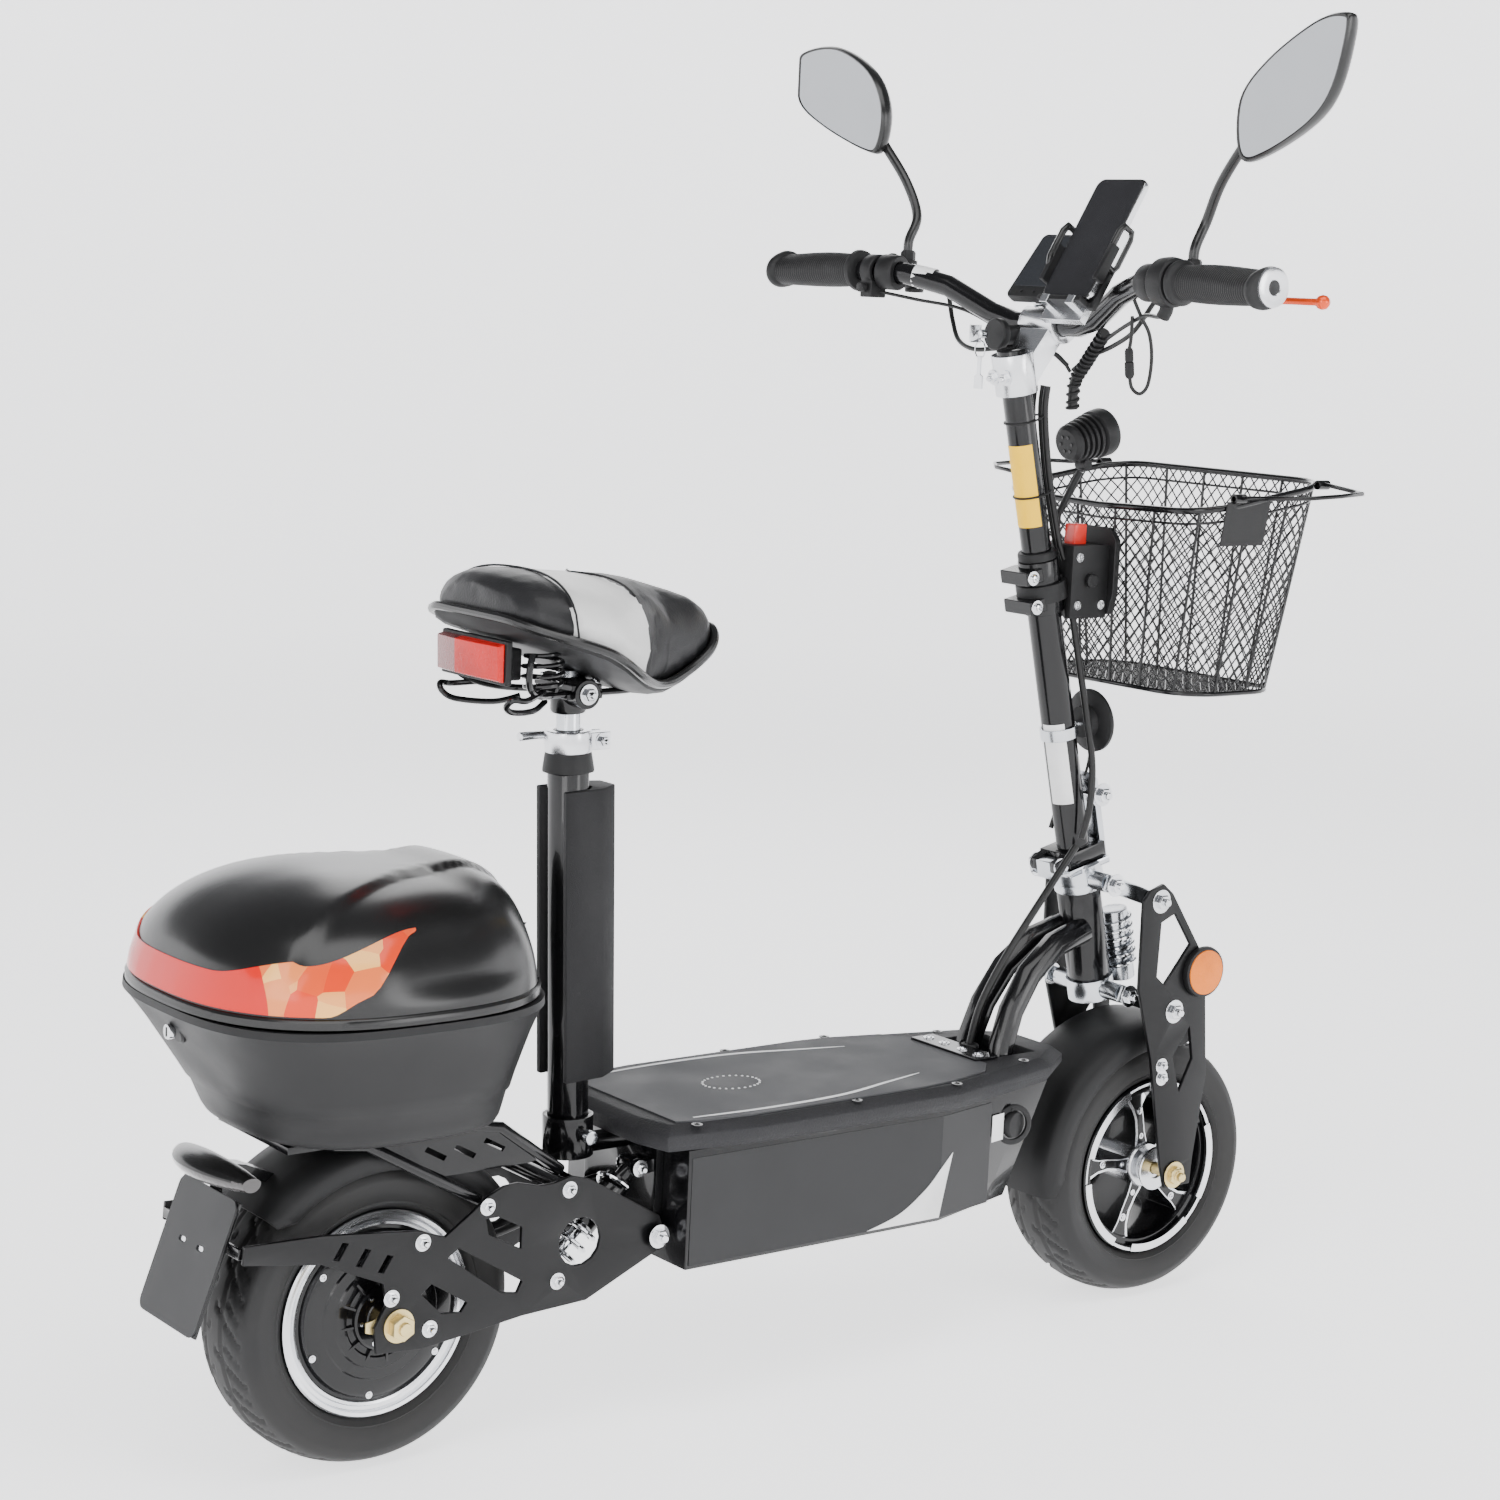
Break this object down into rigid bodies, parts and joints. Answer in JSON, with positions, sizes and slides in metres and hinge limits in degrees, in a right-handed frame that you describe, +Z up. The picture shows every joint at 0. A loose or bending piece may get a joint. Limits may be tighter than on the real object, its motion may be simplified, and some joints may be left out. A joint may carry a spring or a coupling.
{
  "type": "mobility scooter",
  "caption": "Electric seated scooter with a low deck, sprung rear swingarm, leading-link front fork, folding stem, padded saddle, lidded top case and front basket.",
  "frame": {"origin": "bottom centre of the bounding box, on the ground between the wheels", "axes": "+X forwards in the direction of travel, +Y towards the rider's left, +Z up"},
  "size_m": [1.268, 0.779, 1.298],
  "materials": {
    "black_paint": "satin black powder coat",
    "cast_black": "black cast alloy",
    "matte_black": "textured black",
    "gloss_black": "high gloss black",
    "deck_grey": "textured dark grey",
    "rubber": "matte rubber",
    "tyre": "matte tread rubber",
    "vinyl": "matte synthetic leather",
    "zinc": "bright zinc",
    "alloy": "satin machined",
    "gold_zinc": "yellow passivated zinc",
    "red_plastic": "semi-gloss red",
    "orange_red": "anodised orange red",
    "plate_grey": "satin dark grey",
    "cell_blue": "shrink-wrapped cells"
  },
  "bodies": {
    "chassis": {"chassis_box": "black_paint", "deck_cover": "deck_grey", "battery_pack": "cell_blue", "motor_controller": "alloy", "front_frame": "black_paint", "rear_bracket": "black_paint", "seat_tube": "black_paint", "seat_case": "matte_black"},
    "charge_cap": {"charge_port_cap": "rubber"},
    "kickstand": {"kickstand": "black_paint"},
    "seat_pin": {"seat_lock_pin": "zinc"},
    "saddle": {"seat_post": "zinc", "saddle_frame": "black_paint", "saddle_cushion": "vinyl"},
    "seat_lever": {"seat_qr_lever": "alloy"},
    "swingarm": {"swingarm_right": "matte_black", "swingarm_left": "matte_black", "rear_axle": "gold_zinc", "rear_fender": "matte_black", "luggage_rack": "black_paint", "number_plate": "plate_grey", "top_case_tub": "matte_black"},
    "rear_wheel": {"rear_tyre": "tyre", "rear_hub_motor": "cast_black"},
    "shock_body": {"rear_shock_body": "alloy"},
    "shock_rod": {"rear_shock_rod": "zinc"},
    "lid": {"top_case_lid": "gloss_black"},
    "lid_lock": {"case_lock": "zinc"},
    "fork": {"fork_yoke": "alloy"},
    "lower_link": {"front_lower_link": "alloy"},
    "upper_link": {"front_upper_link": "alloy"},
    "legs": {"leg_plate_right": "matte_black", "leg_plate_left": "matte_black", "front_axle": "zinc", "front_fender": "matte_black", "front_shock": "black_paint"},
    "front_wheel_set": {"front_tyre": "tyre", "front_wheel": "alloy"},
    "stem": {"stem_lower": "black_paint", "basket_bracket": "matte_black"},
    "latch": {"stem_latch": "matte_black"},
    "bars": {"stem_upper": "black_paint", "handlebar_clamp": "alloy", "handlebar": "black_paint", "left_grip": "rubber"},
    "throttle": {"throttle_grip": "rubber"},
    "left_brake": {"brake_lever_left": "black_paint"},
    "right_brake": {"brake_lever_right": "orange_red"},
    "horn": {"horn_button": "matte_black"},
    "key": {"ignition_key": "zinc"},
    "display_unit": {"display": "gloss_black"},
    "holder": {"phone_holder": "matte_black"},
    "jaw": {"phone_jaw": "alloy"},
    "left_mirror": {"mirror_left": "gloss_black"},
    "right_mirror": {"mirror_right": "gloss_black"},
    "lamp": {"headlamp": "gloss_black"},
    "basket_shell": {"basket": "black_paint"},
    "release": {"basket_release": "red_plastic"},
    "left_bail": {"basket_handle_left": "black_paint"},
    "right_bail": {"basket_handle_right": "black_paint"}
  },
  "joints": [
    {"name": "charge_cap_hinge", "type": "hinge", "parent": "chassis", "child": "charge_cap", "pos_m": [0.26171, -0.07493, 0.2415], "axis": [-0.9793, -0.2023, 0], "range_deg": [0, 60]},
    {"name": "kickstand_hinge", "type": "hinge", "parent": "chassis", "child": "kickstand", "pos_m": [-0.067, 0.088, 0.1395], "axis": [0, -1, 0], "range_deg": [0, 80]},
    {"name": "seat_pin_slide", "type": "slide", "parent": "chassis", "child": "seat_pin", "axis": [0, -1, 0], "range_m": [0, 0.06]},
    {"name": "seat_height", "type": "slide", "parent": "chassis", "child": "saddle", "axis": [-0.04, 0, 0.9992], "range_m": [-0.014, 0.12]},
    {"name": "seat_lever_hinge", "type": "hinge", "parent": "chassis", "child": "seat_lever", "pos_m": [-0.21093, 0.019, 0.62964], "axis": [0, 0, -1], "range_deg": [0, 95]},
    {"name": "swingarm_hinge", "type": "hinge", "parent": "chassis", "child": "swingarm", "pos_m": [-0.169, 0, 0.179], "axis": [0, 1, 0], "range_deg": [-2, 5], "stiffness_Nm_per_rad": 4000},
    {"name": "rear_wheel_spin", "type": "hinge", "parent": "swingarm", "child": "rear_wheel", "pos_m": [-0.439, 0, 0.14], "axis": [0, 1, 0], "continuous": true},
    {"name": "shock_pivot", "type": "hinge", "parent": "chassis", "child": "shock_body", "pos_m": [-0.177, -0.043, 0.238], "axis": [0, 1, 0], "range_deg": [-2, 7]},
    {"name": "shock_stroke", "type": "slide", "parent": "shock_body", "child": "shock_rod", "axis": [0.7487, 0, 0.6629], "range_m": [-0.003, 0.009]},
    {"name": "lid_hinge", "type": "hinge", "parent": "swingarm", "child": "lid", "pos_m": [-0.304, 0, 0.431], "axis": [0, 1, 0], "range_deg": [0, 30]},
    {"name": "lid_lock_turn", "type": "hinge", "parent": "swingarm", "child": "lid_lock", "pos_m": [-0.62, 0, 0.405], "axis": [-1, 0, 0], "range_deg": [0, 90]},
    {"name": "steering", "type": "hinge", "parent": "chassis", "child": "fork", "pos_m": [0.43, 0, 0.334], "axis": [-0.2368, 0, 0.9715], "range_deg": [-40, 40]},
    {"name": "lower_link_hinge", "type": "hinge", "parent": "fork", "child": "lower_link", "pos_m": [0.43, 0, 0.334], "axis": [0, -1, 0], "range_deg": [-8, 28], "stiffness_Nm_per_rad": 600, "springref_deg": -1.15},
    {"name": "upper_link_hinge", "type": "hinge", "parent": "fork", "child": "upper_link", "pos_m": [0.40118, 0, 0.45224], "axis": [0, -1, 0], "range_deg": [-8, 28]},
    {"name": "leg_pivot", "type": "hinge", "parent": "lower_link", "child": "legs", "pos_m": [0.48, 0, 0.316], "axis": [0, -1, 0], "range_deg": [-28, 8]},
    {"name": "front_wheel_spin", "type": "hinge", "parent": "legs", "child": "front_wheel_set", "pos_m": [0.494, 0, 0.14], "axis": [0, 1, 0], "continuous": true},
    {"name": "stem_fold", "type": "hinge", "parent": "fork", "child": "stem", "pos_m": [0.36045, 0, 0.46732], "axis": [0, -1, 0], "range_deg": [0, 30]},
    {"name": "latch_hinge", "type": "hinge", "parent": "stem", "child": "latch", "pos_m": [0.40768, 0, 0.53956], "axis": [0, -1, 0], "range_deg": [0, 20]},
    {"name": "stem_height", "type": "slide", "parent": "stem", "child": "bars", "axis": [-0.2368, 0, 0.9715], "range_m": [-0.06, 0.06]},
    {"name": "throttle_twist", "type": "hinge", "parent": "bars", "child": "throttle", "pos_m": [0.26534, -0.22798, 1.05691], "axis": [-0.0505, -0.9987, -0.0072], "range_deg": [0, 60], "stiffness_Nm_per_rad": 0.15, "springref_deg": -17.19},
    {"name": "left_brake_hinge", "type": "hinge", "parent": "bars", "child": "left_brake", "pos_m": [0.303, 0.19, 1.045], "axis": [0, 0, 1], "range_deg": [0, 13], "stiffness_Nm_per_rad": 0.8, "springref_deg": -11.46},
    {"name": "right_brake_hinge", "type": "hinge", "parent": "bars", "child": "right_brake", "pos_m": [0.303, -0.19, 1.045], "axis": [0, 0, -1], "range_deg": [0, 13], "stiffness_Nm_per_rad": 0.8, "springref_deg": -11.46},
    {"name": "horn_press", "type": "slide", "parent": "bars", "child": "horn", "axis": [1, 0, 0], "range_m": [0, 0.0025], "stiffness_N_per_m": 400, "springref_m": -0.001},
    {"name": "key_turn", "type": "hinge", "parent": "bars", "child": "key", "pos_m": [0.262, 0.03, 1], "axis": [-1, 0, 0], "range_deg": [0, 90]},
    {"name": "display_tilt", "type": "hinge", "parent": "bars", "child": "display_unit", "pos_m": [0.325, 0, 1.042], "axis": [0, 1, 0], "range_deg": [-8, 12]},
    {"name": "phone_holder_turn", "type": "hinge", "parent": "bars", "child": "holder", "pos_m": [0.28867, -0.08, 1.05691], "axis": [-0.8572, 0, 0.515], "range_deg": [-15, 3]},
    {"name": "phone_jaw_slide", "type": "slide", "parent": "holder", "child": "jaw", "axis": [0, -1, 0], "range_m": [0, 0.016], "stiffness_N_per_m": 150, "springref_m": -0.01},
    {"name": "left_mirror_turn", "type": "hinge", "parent": "bars", "child": "left_mirror", "pos_m": [0.306, 0.206, 1.07], "axis": [0, 0, 1], "range_deg": [-25, 25]},
    {"name": "right_mirror_turn", "type": "hinge", "parent": "bars", "child": "right_mirror", "pos_m": [0.306, -0.206, 1.07], "axis": [0, 0, 1], "range_deg": [-25, 25]},
    {"name": "headlamp_tilt", "type": "hinge", "parent": "stem", "child": "lamp", "pos_m": [0.376, 0, 0.874], "axis": [0, 1, 0], "range_deg": [-10, 10]},
    {"name": "basket_lift", "type": "slide", "parent": "stem", "child": "basket_shell", "axis": [0.3, 0, 0.9539], "range_m": [0, 0.1]},
    {"name": "release_press", "type": "slide", "parent": "stem", "child": "release", "axis": [0, 0, -1], "range_m": [0, 0.004], "stiffness_N_per_m": 400, "springref_m": -0.002},
    {"name": "left_bail_hinge", "type": "hinge", "parent": "basket_shell", "child": "left_bail", "pos_m": [0.493, 0.1595, 0.86], "axis": [0.9939, 0, 0.1104], "range_deg": [0, 95]},
    {"name": "right_bail_hinge", "type": "hinge", "parent": "basket_shell", "child": "right_bail", "pos_m": [0.493, -0.1595, 0.86], "axis": [-0.9939, 0, -0.1104], "range_deg": [0, 95]}
  ],
  "couplings": [
    {"joint": "shock_pivot", "follows": "swingarm_hinge", "ratio": 0.75},
    {"joint": "shock_stroke", "follows": "swingarm_hinge", "m_per_rad": 0.0508},
    {"joint": "upper_link_hinge", "follows": "lower_link_hinge", "ratio": 1},
    {"joint": "leg_pivot", "follows": "lower_link_hinge", "ratio": -1}
  ]
}
